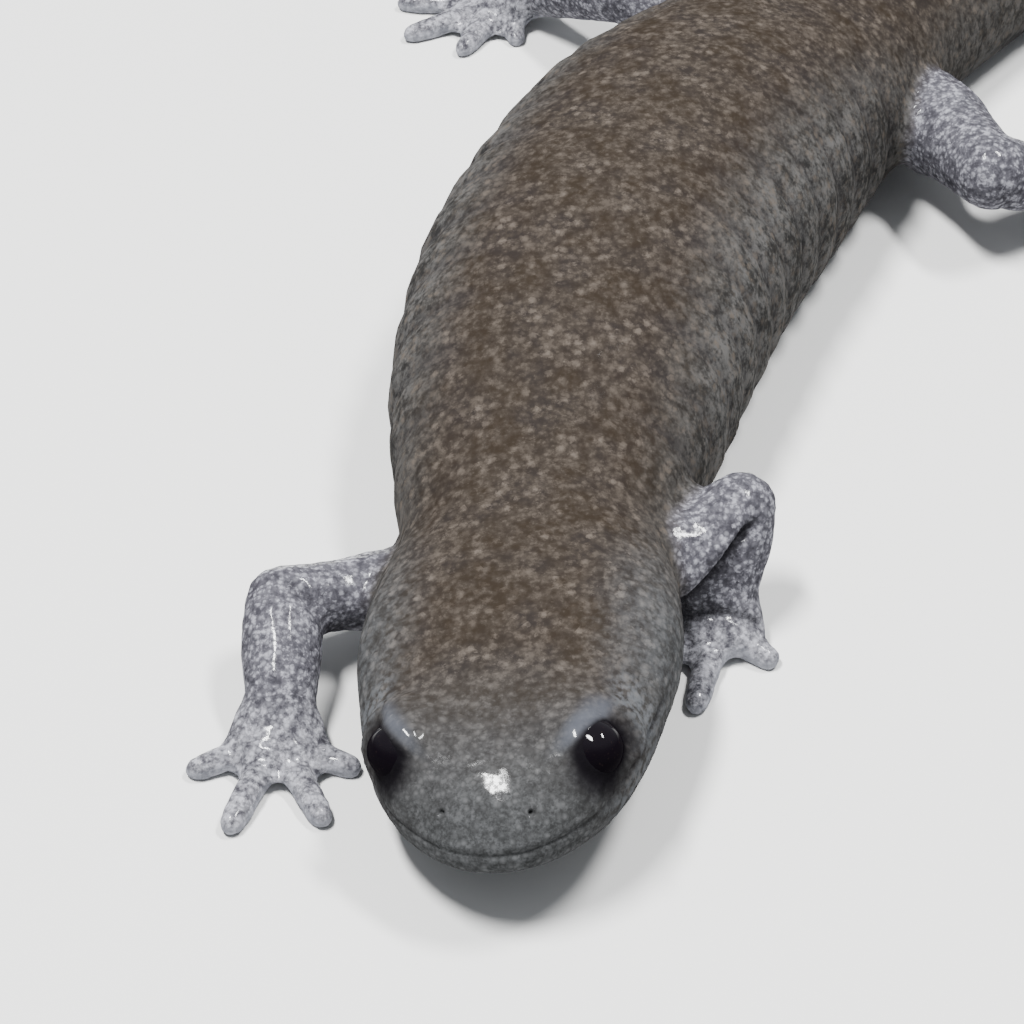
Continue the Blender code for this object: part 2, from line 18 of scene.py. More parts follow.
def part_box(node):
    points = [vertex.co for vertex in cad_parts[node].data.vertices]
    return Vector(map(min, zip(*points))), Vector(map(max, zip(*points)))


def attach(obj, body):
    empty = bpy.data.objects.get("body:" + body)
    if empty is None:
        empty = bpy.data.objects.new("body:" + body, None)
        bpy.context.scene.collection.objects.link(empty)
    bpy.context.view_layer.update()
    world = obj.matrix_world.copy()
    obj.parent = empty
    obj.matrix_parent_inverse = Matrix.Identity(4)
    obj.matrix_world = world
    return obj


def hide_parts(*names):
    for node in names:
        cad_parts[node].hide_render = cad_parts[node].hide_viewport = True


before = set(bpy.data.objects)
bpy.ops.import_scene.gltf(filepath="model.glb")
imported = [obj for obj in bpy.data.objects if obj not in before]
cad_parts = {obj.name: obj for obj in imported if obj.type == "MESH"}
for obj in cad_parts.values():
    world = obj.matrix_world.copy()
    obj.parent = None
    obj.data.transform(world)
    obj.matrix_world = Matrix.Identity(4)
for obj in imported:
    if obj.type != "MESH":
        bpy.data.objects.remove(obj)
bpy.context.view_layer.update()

MM = 0.001

# The eyes' nodes, each with the side it lies on: -1 for the animal's right, 1 for its left
EYES = {"eye_right": -1, "eye_left": 1}
LIMB_WORDS = ("arm", "hand", "thigh", "shin", "foot")
FLESH = [name for name in sorted(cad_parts) if name not in EYES]
LIMBS = [name for name in FLESH if any(word in name for word in LIMB_WORDS)]
BODY = [name for name in FLESH if name not in LIMBS]

# The back's route on the floor: station from the snout's tip, degrees from +Y towards +X
HEADINGS = np.array(
    [
        (0.0, 8.5),
        (13.0, 5.5),
        (20.0, 5.0),
        (30.0, 11.0),
        (40.0, 21.0),
        (50.0, 31.0),
        (60.0, 38.0),
        (72.0, 45.0),
        (88.0, 46.0),
        (105.0, 32.0),
        (122.0, 8.0),
        (137.0, -18.0),
    ]
)
BACK_LENGTH = 137.0
WIDEST_HEAD = 11.9
# The head leans to the animal's right by this many degrees, and the neck takes the lean up
HEAD_LEAN = 8.0
LEAN_HEIGHT = 4.5
LEAN_FADES_FROM = 13.0
LEAN_GONE_AT = 26.0

# The head's features, as station, distance to the side and height
EYE_STATION = 4.5
EYE_SIDE = 3.98
EYE_HEIGHT = 6.15
EYE_RADIUS = 1.32
EYE_LOOK = (0.76, -0.36, 0.54)
CORNEA_BULGE = 0.10
SOCKET_RADIUS = 1.62
# The upper lid comes down from over the head, this far across, towards the tail and up
LID_FROM = (0.64, 0.50, 0.58)
LID_CLEAR = -0.03
# Angles from the way the eye looks, in degrees: the lids' round opening, how softly it runs into
# the upper lid's fold, the edge of the solids' socket, and the end of the skin that slides
LID_OPENING = 56.0
LID_CORNER = 9.0
SOCKET_EDGE = 66.0
SLIDE_END = 128.0
# Cosine of the angle between LID_FROM and the upper lid's edge, by the side the eye lies on
LID_DROP = {-1: 0.20, 1: 0.52}
LID_THINNEST = 0.10
# The dark rim is widest towards the snout: this far across, towards the tail and up
RIM_SIDE = (0.7, -0.5, -0.5)
NOSTRIL_STATION = 1.35
NOSTRIL_SIDE = 1.85
NOSTRIL_WIDTH = 0.10
NOSTRIL_DEPTH = 0.24
NOSTRIL_LOWEST = 4.2
# Station and height of the mouth line, and of the line where the solids of head and jaw part
MOUTH_LINE = np.array(
    [(-1.0, 4.42), (1.2, 4.42), (3.0, 4.55), (4.6, 4.86), (6.4, 5.12), (8.2, 5.12), (9.4, 4.9)]
)
PARTING = np.array(
    [(-1.0, 4.4), (1.2, 4.38), (3.0, 4.25), (4.6, 4.15), (7.0, 4.15), (8.6, 3.8), (9.4, 3.4)]
)
MOUTH_CORNER = 8.8
FACE_END = 10.5
MOUTH_WIDTH = 0.09
MOUTH_DEPTH = 0.08
# Rise, height above the mouth line and width of the upper and the lower lip
LIPS = ((0.05, 0.30, 0.17), (0.03, -0.32, 0.2))

# Creases where a limb bends: place from the head's widest point, the way square to the crease,
# the way its inside faces, reach, depth and width
CREASES = (
    ((7.9, 7.1, 3.7), (0.69, 0.0, -0.73), (0.0, -0.77, 0.64), 3.5, 0.55, 0.28),
    ((8.95, 5.85, 1.6), (-0.12, -0.92, -0.37), (0.2, -0.5, 0.85), 2.2, 0.26, 0.17),
    ((-10.4, 4.8, 3.6), (-0.62, -0.78, -0.1), (0.75, -0.6, -0.2), 2.4, 0.16, 0.30),
    ((5.6, 52.0, 5.0), (0.3, 0.9, 0.3), (0.0, 0.2, -0.9), 2.6, 0.16, 0.30),
    ((23.2, 35.6, 4.8), (0.9, 0.3, 0.3), (0.2, 0.0, -0.9), 2.6, 0.16, 0.30),
)
# The middle of each wrist and ankle, where the skin is smoothed further
WRISTS = ((-10.45, -0.4, 1.6), (8.8, 6.8, 1.7), (0.4, 57.0, 1.7), (28.4, 38.0, 1.7))
WRIST_REACH = 2.0
# The fold on each side of the neck, as station and distance to the side
NECK_FOLD = np.array([(12.5, 5.7), (15.0, 5.1), (18.0, 4.4), (21.5, 4.7)])
NECK_FOLD_DEPTH = 0.10
NECK_FOLD_WIDTH = 0.9

# The grooves between the ribs
GROOVE_COUNT = 13
FIRST_GROOVE = 23.5
GROOVE_SPACING = 2.75
GROOVE_WIDTH = 0.42
GROOVE_DEPTH = 0.11

# The solids are swollen by SWELL to close their gaps, remeshed in cells of VOXEL, and brought
# back until the skin stands out by STAND_OUT
SWELL = 0.30
STAND_OUT = 0.04
VOXEL = 0.345


def smooth_step(x, low, high):
    """0 below low, 1 above high, and smooth in between."""
    t = np.clip((np.asarray(x, float) - low) / (high - low), 0, 1)
    return t * t * (3 - 2 * t)


def bump_at(x, middle, width):
    """A bell of height 1."""
    return np.exp(-(((x - middle) / width) ** 2))


class Back:
    """The route of the animal's back, and places given along, across and above it."""

    def __init__(self, step=0.1):
        self.stations = np.arange(-2.0, BACK_LENGTH + 2.0, step)
        headings = np.radians(self.heading(self.stations))
        self.x = np.cumsum(np.sin(headings)) * step
        self.y = np.cumsum(np.cos(headings)) * step
        middle = (np.array(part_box("eye_left")) + np.array(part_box("eye_right"))).mean(axis=0) / MM / 2
        left = self.point(EYE_STATION, EYE_SIDE, EYE_HEIGHT)
        drawn = (left + self.point(EYE_STATION, -EYE_SIDE, EYE_HEIGHT)) / 2
        self.x += middle[0] - drawn[0]
        self.y += middle[1] - drawn[1]
        self.eye_middle = middle

    def origin(self):
        """The head's widest point on the floor."""
        x = np.interp(WIDEST_HEAD, self.stations, self.x)
        y = np.interp(WIDEST_HEAD, self.stations, self.y)
        return np.array((x, y, 0.0))

    @staticmethod
    def heading(station):
        """The way the back runs, in degrees from +Y towards +X."""
        return np.interp(station, HEADINGS[:, 0], HEADINGS[:, 1])

    @staticmethod
    def lean(station):
        """How far the body leans at a station, in radians."""
        return math.radians(HEAD_LEAN) * (1 - smooth_step(station, LEAN_FADES_FROM, LEAN_GONE_AT))

    def point(self, station, across, height):
        """The place at a station, a distance to the animal's left and a height."""
        lean, heading = self.lean(station), np.radians(self.heading(station))
        above = height - LEAN_HEIGHT
        side = across * np.cos(lean) - above * np.sin(lean)
        up = LEAN_HEIGHT + across * np.sin(lean) + above * np.cos(lean)
        x = np.interp(station, self.stations, self.x) + side * np.cos(heading)
        y = np.interp(station, self.stations, self.y) - side * np.sin(heading)
        return np.array((x, y, up))

    def where(self, places):
        """Station, distance to the animal's left and height of each place."""
        station = np.zeros(len(places))
        side = np.zeros(len(places))
        coarse = slice(None, None, 8)
        route = np.stack([self.x[coarse], self.y[coarse]], axis=1)
        for start in range(0, len(places), 4000):
            some = places[start : start + 4000, :2]
            away = ((some[:, None, :] - route[None]) ** 2).sum(axis=2)
            nearest = away.argmin(axis=1)
            s = self.stations[coarse][nearest]
            heading = np.radians(self.heading(s))
            off = some - route[nearest]
            sin, cos = np.sin(heading), np.cos(heading)
            station[start : start + 4000] = s + off[:, 0] * sin + off[:, 1] * cos
            side[start : start + 4000] = off[:, 0] * cos - off[:, 1] * sin
        lean = self.lean(station)
        above = places[:, 2] - LEAN_HEIGHT
        across = side * np.cos(lean) + above * np.sin(lean)
        height = LEAN_HEIGHT - side * np.sin(lean) + above * np.cos(lean)
        return station, across, height

    def direction(self, across, along, up):
        """A direction given across the head, towards its back and upwards."""
        start = self.point(EYE_STATION, 0.0, EYE_HEIGHT)
        step = 0.01
        sideways = (self.point(EYE_STATION, step, EYE_HEIGHT) - start) / step
        backwards = (self.point(EYE_STATION + step, 0.0, EYE_HEIGHT) - start) / step
        upwards = (self.point(EYE_STATION, 0.0, EYE_HEIGHT + step) - start) / step
        way = across * sideways + along * backwards + up * upwards
        return way / np.linalg.norm(way)

    def outward(self, way, hand):
        """A direction whose first part points to the animal's left for 1, to its right for -1."""
        return self.direction(hand * way[0], way[1], way[2])


back = Back()


def only(*objects):
    """Selects these objects alone, the first of them active."""
    bpy.ops.object.select_all(action="DESELECT")
    for obj in objects:
        obj.select_set(True)
    bpy.context.view_layer.objects.active = objects[0]


def apply_modifier(obj, kind, **settings):
    """Adds one modifier and applies it."""
    only(obj)
    modifier = obj.modifiers.new(kind.lower(), kind)
    for key, value in settings.items():
        setattr(modifier, key, value)
    bpy.ops.object.modifier_apply(modifier=modifier.name)


def vertices_of(obj):
    """The places of the vertices, in millimetres."""
    flat = np.zeros(len(obj.data.vertices) * 3)
    obj.data.vertices.foreach_get("co", flat)
    return flat.reshape(-1, 3) / MM


def normals_of(obj):
    """The way each vertex faces."""
    flat = np.zeros(len(obj.data.vertices) * 3)
    obj.data.vertex_normals.foreach_get("vector", flat)
    return flat.reshape(-1, 3)


def move_vertices(obj, places):
    """Puts the vertices at these places, in millimetres."""
    obj.data.vertices.foreach_set("co", (places * MM).ravel())
    obj.data.update()


def flesh_copies():
    """Copies of the flesh nodes, welded and swollen until they run into each other."""
    copies = []
    for name in FLESH:
        copy = bpy.data.objects.new(name + "_flesh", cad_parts[name].data.copy())
        bpy.context.scene.collection.objects.link(copy)
        copy.data.materials.clear()
        only(copy)
        bpy.ops.object.mode_set(mode="EDIT")
        bpy.ops.mesh.select_all(action="SELECT")
        bpy.ops.mesh.remove_doubles(threshold=1e-6)
        bpy.ops.object.mode_set(mode="OBJECT")
        apply_modifier(copy, "DISPLACE", strength=SWELL * MM, mid_level=0.0)
        copies.append(copy)
    return copies


def surface_tree(names):
    """The surface of some nodes, to measure distances to."""
    places, faces = [], []
    for name in names:
        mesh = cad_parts[name].data
        start = len(places)
        places += [v.co / MM for v in mesh.vertices]
        faces += [[start + k for k in polygon.vertices] for polygon in mesh.polygons]
    return BVHTree.FromPolygons(places, faces)


def distances(places, tree):
    """How far each place lies from a surface."""
    return np.array([tree.find_nearest(place)[3] for place in places.tolist()])


def away_from(places, points):
    """How far each place lies from the nearest of some points."""
    return np.min([np.linalg.norm(places - point, axis=1) for point in points], axis=0)


def refine(obj, wanted, longest):
    """Subdivides once the faces round the wanted vertices, where their edges are still long."""
    bpy.ops.object.mode_set(mode="OBJECT")
    mesh = obj.data
    near = wanted(vertices_of(obj))
    least = (longest * MM) ** 2
    flags = [face.area > least and all(near[k] for k in face.vertices) for face in mesh.polygons]
    only(obj)
    bpy.ops.object.mode_set(mode="EDIT")
    bpy.ops.mesh.select_all(action="DESELECT")
    bpy.ops.mesh.select_mode(type="FACE")
    bpy.ops.object.mode_set(mode="OBJECT")
    mesh.polygons.foreach_set("select", flags)
    bpy.ops.object.mode_set(mode="EDIT")
    bpy.ops.mesh.subdivide(number_cuts=1, smoothness=0.7)
    bpy.ops.object.mode_set(mode="OBJECT")


def eye_centre(node):
    """The middle of an eyeball."""
    low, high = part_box(node)
    return (np.array(low) + np.array(high)) / 2 / MM


def nostril_places(obj):
    """The places on the skin where the nostrils open."""
    places = vertices_of(obj)
    station, across, height = back.where(places)
    found = []
    for hand in (-1, 1):
        away = (station - NOSTRIL_STATION) ** 2 + (across - hand * NOSTRIL_SIDE) ** 2
        away[height < NOSTRIL_LOWEST] = np.inf
        found.append(places[away.argmin()])
    return found


def make_skin():
    """The whole skin: grown from the flesh, closed on the eyes, refined and carved."""
    copies = flesh_copies()
    only(*copies)
    bpy.ops.object.join()
    skin = bpy.context.view_layer.objects.active
    skin.name = skin.data.name = "skin"
    apply_modifier(skin, "REMESH", mode="VOXEL", voxel_size=VOXEL * MM)
    apply_modifier(skin, "SMOOTH", factor=0.5, iterations=5)
    restore_girth(skin)
    apply_modifier(skin, "SMOOTH", factor=0.5, iterations=1)
    smooth_wrists(skin)
    apply_modifier(skin, "DISPLACE", strength=-(SWELL - STAND_OUT) * MM, mid_level=0.0)
    close_lids(skin)
    draw_lids(skin)
    smooth_parting(skin)
    refine_features(skin)
    smooth_lids(skin)
    carve(skin)
    # Nothing of it goes below the floor
    places = vertices_of(skin)
    places[:, 2] = np.maximum(places[:, 2], 0.0)
    move_vertices(skin, places)
    bpy.ops.object.shade_smooth()
    return skin


def restore_girth(skin):
    """Brings smoothed skin back to its even distance from the flesh, since smoothing thins toes."""
    places, normals = vertices_of(skin), normals_of(skin)
    lack = SWELL - distances(places, surface_tree(FLESH))
    move_vertices(skin, places + normals * np.clip(lack, -0.02, 0.3)[:, None])


def smooth_where(obj, chosen, repeat):
    """Smooths just the chosen vertices."""
    only(obj)
    bpy.ops.object.mode_set(mode="EDIT")
    bpy.ops.mesh.select_mode(type="VERT")
    bpy.ops.mesh.select_all(action="DESELECT")
    bpy.ops.object.mode_set(mode="OBJECT")
    obj.data.vertices.foreach_set("select", chosen)
    bpy.ops.object.mode_set(mode="EDIT")
    bpy.ops.mesh.vertices_smooth(factor=0.5, repeat=repeat)
    bpy.ops.object.mode_set(mode="OBJECT")


def smooth_wrists(skin):
    """Evens out the skin over the gaps at wrists and ankles."""
    smooth_where(skin, away_from(vertices_of(skin) - back.origin(), WRISTS) < WRIST_REACH, 10)


def smooth_parting(skin):
    """Fills the groove that the parting of head and jaw leaves in the skin."""
    station, _, height = back.where(vertices_of(skin))
    off = np.abs(height - np.interp(station, PARTING[:, 0], PARTING[:, 1]))
    smooth_where(skin, (off < 0.75) & (station > 0.6) & (station < FACE_END), 8)


def smooth_lids(skin):
    """Evens out the folds of the lids."""
    smooth_where(skin, away_from(vertices_of(skin), [eye_centre(node) for node in EYES]) < 2.3, 5)


def close_lids(skin):
    """Draws the socket's wall in until the lids lie on the eyeballs."""
    places = vertices_of(skin)
    for node in EYES:
        centre = eye_centre(node)
        off = places - centre
        away = np.linalg.norm(off, axis=1)
        inner = EYE_RADIUS + LID_CLEAR
        pull = 1 - smooth_step(away, SOCKET_RADIUS + 0.05, SOCKET_RADIUS + 0.65)
        target = np.maximum(away - (SOCKET_RADIUS - inner) * pull, inner)
        near = away < SOCKET_RADIUS + 0.8
        places[near] = centre + off[near] * (target / away)[near, None]
    move_vertices(skin, places)


def eye_frame(hand):
    """The way an eye looks, the way square to it on the upper lid's side, and the third."""
    look = back.outward(EYE_LOOK, hand)
    lid = back.outward(LID_FROM, -hand)
    first = lid - look * (lid @ look)
    first /= np.linalg.norm(first)
    return look, lid, first, np.cross(look, first)


def lid_edge(hand, turn):
    """How far from the eye's axis the lids' edge lies, in degrees, at each turn round the axis."""
    look, lid, first, _ = eye_frame(hand)
    along, side = lid @ look, (lid @ first) * np.cos(turn)
    size, drop = np.hypot(along, side), LID_DROP[hand]
    reach = np.degrees(np.arctan2(side, along) - np.arccos(np.clip(drop / size, -1, 1)))
    reach = np.where((size > drop) & (side > 0), reach, 180.0)
    return -LID_CORNER * np.log(np.exp(-reach / LID_CORNER) + np.exp(-LID_OPENING / LID_CORNER))


def draw_lids(skin):
    """Slides the upper lid down over each eye and thins both lids towards their edge."""
    places = vertices_of(skin)
    for node, hand in EYES.items():
        look, _, first, second = eye_frame(hand)
        off = places - eye_centre(node)
        away = np.maximum(np.linalg.norm(off, axis=1), 1e-6)
        near = away < 3.0
        unit = off[near] / away[near, None]
        angle = np.degrees(np.arccos(np.clip(unit @ look, -1, 1)))
        turn = np.arctan2(unit @ second, unit @ first)
        edge = lid_edge(hand, turn)
        fade = 1 - smooth_step(away[near], 2.0, 2.9)
        angle -= (SOCKET_EDGE - edge) * (1 - smooth_step(angle, SOCKET_EDGE, SLIDE_END)) * fade
        thin = LID_THINNEST + (1 - LID_THINNEST) * smooth_step(angle - edge, -4.0, 48.0)
        inner = EYE_RADIUS + LID_CLEAR
        reach = away[near]
        close = 1 - smooth_step(reach, 1.9, 2.5)
        reach -= np.maximum(reach - inner, 0) * (1 - thin) * close
        angle = np.radians(angle)[:, None]
        ring = first * np.cos(turn)[:, None] + second * np.sin(turn)[:, None]
        places[near] = eye_centre(node) + reach[:, None] * (look * np.cos(angle) + ring * np.sin(angle))
    move_vertices(skin, places)


def mouth_offset(station, height):
    """How far above the mouth line each place lies."""
    return height - np.interp(station, MOUTH_LINE[:, 0], MOUTH_LINE[:, 1])


def along_mouth(station):
    """1 along the mouth, fading to 0 at its corner."""
    return 1 - smooth_step(station, MOUTH_CORNER - 0.6, MOUTH_CORNER + 0.3)


def refine_features(skin):
    """Subdivides the skin where it needs finer shapes."""

    def face_front(places):
        return back.where(places)[0] < FACE_END

    def near_creases(places):
        off = places - back.origin()
        return np.any([away_from(off, [crease[0]]) < crease[3] for crease in CREASES[:3]], axis=0)

    def near_mouth(places):
        station, _, height = back.where(places)
        return (np.abs(mouth_offset(station, height)) < 0.62) & (station < MOUTH_CORNER + 0.8)

    def near(points, reach):
        return lambda places: away_from(places, points) < reach

    refine(skin, face_front, 0.2)
    refine(skin, near_creases, 0.2)
    refine(skin, near([eye_centre(node) for node in EYES], 2.6), 0.1)
    refine(skin, near_mouth, 0.1)
    nostrils = nostril_places(skin)
    refine(skin, near(nostrils, 0.9), 0.1)
    refine(skin, near(nostrils, 0.55), 0.05)


def creases(places):
    """For each crease how far each place lies from it, how far it holds there, depth and width."""
    for place, way, inside, reach, depth, width in CREASES:
        off = places - back.origin() - np.array(place)
        facing = off @ np.array(inside) / np.linalg.norm(inside)
        held = 1 - smooth_step(np.linalg.norm(off, axis=1), reach - 0.9, reach)
        yield off @ np.array(way), held * smooth_step(facing, -0.9, 0.7), depth, width


def limb_share(places):
    """How far each place belongs to a limb, from 0 to 1."""
    to_limb = distances(places, surface_tree(LIMBS))
    to_body = distances(places, surface_tree(BODY))
    return smooth_step(to_body - to_limb, -0.3, 0.9)


def rib_grooves(station, across):
    """How far each place lies in a groove between the ribs, from 0 to 1."""
    beside = smooth_step(np.abs(across), 2.6, 5.6) * (1 - smooth_step(np.abs(across), 9.0, 10.5))
    middles = FIRST_GROOVE + GROOVE_SPACING * np.arange(GROOVE_COUNT)
    return beside * sum(bump_at(station, middle, GROOVE_WIDTH) for middle in middles)


def carve(skin):
    """Lips, nostrils and the small unevenness of living skin, as moves along the normals."""
    places, normals = vertices_of(skin), normals_of(skin)
    station, across, height = back.where(places)
    out = np.zeros(len(places))

    off, mouth = mouth_offset(station, height), along_mouth(station)
    out -= MOUTH_DEPTH * bump_at(off, 0.0, MOUTH_WIDTH) * mouth
    for rise, above, width in LIPS:
        out += rise * bump_at(off, above, width) * mouth

    for spot in nostril_places(skin):
        away = np.linalg.norm(places - spot, axis=1)
        out -= NOSTRIL_DEPTH * bump_at(away, 0.0, NOSTRIL_WIDTH)
        out += 0.012 * bump_at(away, 0.30, 0.12)

    out -= GROOVE_DEPTH * rib_grooves(station, across)
    for side in (-1, 1):
        fold = side * np.interp(station, NECK_FOLD[:, 0], NECK_FOLD[:, 1])
        along = smooth_step(station, 12.0, 14.5) * (1 - smooth_step(station, 18.5, 22.0))
        above = smooth_step(height, 4.5, 6.0)
        out -= NECK_FOLD_DEPTH * bump_at(across, fold, NECK_FOLD_WIDTH) * along * above

    # Each crease sinks along its middle and swells a little beside it
    for off, held, depth, width in creases(places):
        out -= depth * bump_at(off, 0.0, width) * held
        out += depth * 0.25 * bump_at(off, -2.6 * width, width * 1.6) * held

    # Broad and fine unevenness, left out where something is carved
    fine = 0.014 + 0.022 * limb_share(places)
    for k in np.nonzero(np.abs(out) < 0.02)[0]:
        place = Vector(places[k])
        out[k] += 0.035 * noise(place * 0.55) + fine[k] * noise(place * 1.9 + Vector((7, 3, 1)))
    move_vertices(skin, places + normals * out[:, None])


def keep(obj, name, *channels):
    """Keeps four values with each vertex, for the shaders."""
    layer = obj.data.color_attributes.new(name, "FLOAT_COLOR", "POINT")
    layer.data.foreach_set("color", np.stack(channels, axis=1).astype(np.float32).ravel())


def keep_film(obj, low, high, depth=1.0, thin=0.0, pale_cheek_and_painted_light=0.0, glint=0.0):
    """Keeps where water lies, which drains from all that faces sideways or down.

    With it go the thin edges of toes, painted pale as if lit through, the pale cheek patches, partly
    painted reflected light, and the small glints on damp skin.
    """
    facing_up = normals_of(obj)[:, 2]
    level = smooth_step(facing_up, low, high)
    wet = 0.02 + 0.98 * depth * level
    flat = np.zeros(len(facing_up))
    edge = thin * (1 - smooth_step(facing_up, 0.0, 0.65))
    keep(obj, "film", wet, flat + edge, flat + pale_cheek_and_painted_light, level * glint)


def paint_regions(skin):
    """Keeps with each vertex how far it is limb, flank, belly, lid, eye rim, painted fold shade, wet and
    so on.
    """
    places = vertices_of(skin)
    station, across, height = back.where(places)
    limb = limb_share(places)
    sideways = 1 - smooth_step(normals_of(skin)[:, 2], 0.1, 0.8)
    tail_side = sideways * 0.8 * smooth_step(station, 50.0, 70.0)
    flank = np.maximum(smooth_step(np.abs(across), 3.9, 7.6), tail_side)
    flank *= (1 - limb) * smooth_step(station, 10.0, 20.0)
    belly = 1 - smooth_step(places[:, 2], 0.4, 3.4)
    muzzle = (1 - smooth_step(station, 0.0, 10.0)) * (1 - limb)
    # Cheeks: a cool tint, and with the patches behind the eyes and along the lower lip a paler
    # blue-grey, partly the skin's colour, partly painted light reflected onto the side in shade
    pale_cheek_and_painted_light = smooth_step(np.abs(across), 2.9, 7.0) * (1 - smooth_step(station, 11.0, 19.0)) * (1 - limb)
    # The snout and cheeks' bluish grey: partly the skin's colour, partly a painted reflection of the
    # pale sky
    cool_tint_and_painted_sheen = np.maximum(muzzle, pale_cheek_and_painted_light * 0.8)
    lids, rims, drained = np.zeros((3, len(places)))
    for node, hand in EYES.items():
        look, lid, first, second = eye_frame(hand)
        off = places - eye_centre(node)
        away = np.maximum(np.linalg.norm(off, axis=1), 1e-6)
        unit = off / away[:, None]
        angle = np.degrees(np.arccos(np.clip(unit @ look, -1, 1)))
        beyond = angle - lid_edge(hand, np.arctan2(unit @ second, unit @ first))
        near = 1 - smooth_step(away, 1.9, 2.7)
        drained = np.maximum(drained, smooth_step(away, 1.6, 1.9) * (1 - smooth_step(away, 3.6, 4.3)))
        beside = smooth_step(away, 1.8, 2.6) * (1 - smooth_step(away, 3.2, 4.8))
        pale_cheek_and_painted_light = np.maximum(pale_cheek_and_painted_light, 2.8 * beside * smooth_step(np.abs(across), 4.1, 5.3))
        upper = smooth_step(unit @ lid, 0.2, 0.6)
        lids = np.maximum(lids, upper * near * (1 - smooth_step(beyond, 22.0, 50.0)))
        inner = smooth_step(unit @ back.outward(RIM_SIDE, -hand), -0.2, 0.4)
        low = (2.0 + 9.0 * inner) * (1 - upper) - 4.0 * upper
        high = (28.0 + 11.0 * inner) * (1 - upper) + 16.0 * upper
        rims = np.maximum(rims, near * (1 - smooth_step(beyond, low, high)))
    # Painted shade: the rib grooves, the mouth line and the limbs' creases are darkened in the colour,
    # as if shade lay in them
    painted_fold_shade = rib_grooves(station, across) * (1 - limb) * 0.4
    from_mouth = mouth_offset(station, height)
    mouth = along_mouth(station) * smooth_step(station, 2.0, 4.0)
    painted_fold_shade = np.maximum(painted_fold_shade, 0.6 * mouth * bump_at(from_mouth, 0.0, 0.11))
    pale_cheek_and_painted_light = np.maximum(pale_cheek_and_painted_light, 2.2 * mouth * bump_at(from_mouth, -0.38, 0.24))
    for off, held, depth, width in creases(places):
        shade = bump_at(off, 0.0, width * 1.3) * held * min(depth * 2.2, 1) * limb
        painted_fold_shade = np.maximum(painted_fold_shade, shade)
    keep(skin, "regions", limb, flank, cool_tint_and_painted_sheen, belly)
    keep(skin, "face", lids, rims, muzzle, painted_fold_shade)
    damp = smooth_step(station, 3.8, 6.5) * (1 - limb) ** 2 * (1 - lids)
    depth = (1 - 0.98 * damp) * (1 - np.maximum(drained, rims * 0.8))
    # Painted light: the toes' thin edges are painted paler, partly their own paler skin, partly light
    # shining through it
    thin = limb * (1 - smooth_step(places[:, 2], 0.8, 1.6))
    keep_film(skin, 0.70, 0.90, depth, thin, pale_cheek_and_painted_light, damp)


class Socket:
    """A node's output, with arithmetic that adds the nodes for it."""

    def __init__(self, tree, link):
        self.tree, self.link = tree, link

    def maths(self, operation, *others, swap=False):
        """One arithmetic node on this output and other values."""
        values = [self, *others]
        if swap:
            values.reverse()
        return self.tree.add("ShaderNodeMath", {"operation": operation}, dict(enumerate(values)))

    def __add__(self, other):
        return self.maths("ADD", other)

    def __mul__(self, other):
        return self.maths("MULTIPLY", other)

    def __sub__(self, other):
        return self.maths("SUBTRACT", other)

    def __rsub__(self, other):
        return self.maths("SUBTRACT", other, swap=True)

    def between(self, low, high):
        """0 below low, 1 above high, and smooth in between."""
        settings = {"interpolation_type": "SMOOTHSTEP", "clamp": True}
        inputs = {"Value": self, "From Min": low, "From Max": high}
        return self.tree.add("ShaderNodeMapRange", settings, inputs)


class Shader:
    """A material's node tree, built up by calls."""

    def __init__(self, name):
        self.material = bpy.data.materials.new(name)
        self.material.use_nodes = True
        self.nodes = self.material.node_tree.nodes
        self.principled = self.nodes["Principled BSDF"]

    def plug(self, socket, value):
        """Links an output to a socket, or sets the socket's own value."""
        if isinstance(value, Socket):
            self.material.node_tree.links.new(value.link, socket)
        elif socket.type == "RGBA" and len(value) == 3:
            socket.default_value = (*value, 1.0)
        else:
            socket.default_value = value

    def add(self, kind, settings=None, inputs=None, output=0):
        """Adds a node and gives one of its outputs."""
        node = self.nodes.new(kind)
        for key, value in (settings or {}).items():
            setattr(node, key, value)
        for key, value in (inputs or {}).items():
            self.plug(node.inputs[key], value)
        return Socket(self, node.outputs[output])

    def mix(self, share, low, high):
        """A colour between two, whose sockets in the node are 6, 7 and, for the result, 2."""
        settings = {"data_type": "RGBA", "clamp_factor": True}
        return self.add("ShaderNodeMix", settings, {0: share, 6: low, 7: high}, output=2)

    def noise(self, place, size, detail, roughness=0.5):
        """Noise whose features are about this size, in millimetres."""
        inputs = {
            "Vector": place,
            "Scale": 1 / (size * MM),
            "Detail": detail,
            "Roughness": roughness,
        }
        return self.add("ShaderNodeTexNoise", None, inputs)

    def flecks(self, place, size, ragged):
        """Ragged flecks, one to a cell of about this size in millimetres, some of them faint."""
        inputs = {"Vector": place, "Scale": 1 / (size * MM)}
        cells = self.add("ShaderNodeTexVoronoi", {"feature": "F1"}, inputs)
        strength = Socket(self, cells.link.node.outputs["Color"]).between(0.25, 0.75)
        return (1.0 - (cells + (ragged - 0.5) * 1.7).between(0.04, 0.56)) * strength

    def attribute(self, name):
        """The four channels kept with the vertices under a name."""
        colour = self.add("ShaderNodeAttribute", {"attribute_name": name})
        parts = self.nodes.new("ShaderNodeSeparateColor")
        self.plug(parts.inputs[0], colour)
        alpha = colour.link.node.outputs["Alpha"]
        return [Socket(self, output) for output in (*parts.outputs, alpha)]

    def object_place(self):
        """The place on the object, in its own coordinates."""
        return self.add("ShaderNodeTexCoord", output="Object")

    def stretched(self, place, times):
        """The place with each of its parts multiplied."""
        return self.add("ShaderNodeVectorMath", {"operation": "MULTIPLY"}, {0: place, 1: times})

    def finish(self, **sockets):
        """Sets the surface's sockets, named with underscores for spaces, and gives the material."""
        for name, value in sockets.items():
            self.plug(self.principled.inputs[name.replace("_", " ")], value)
        return self.material


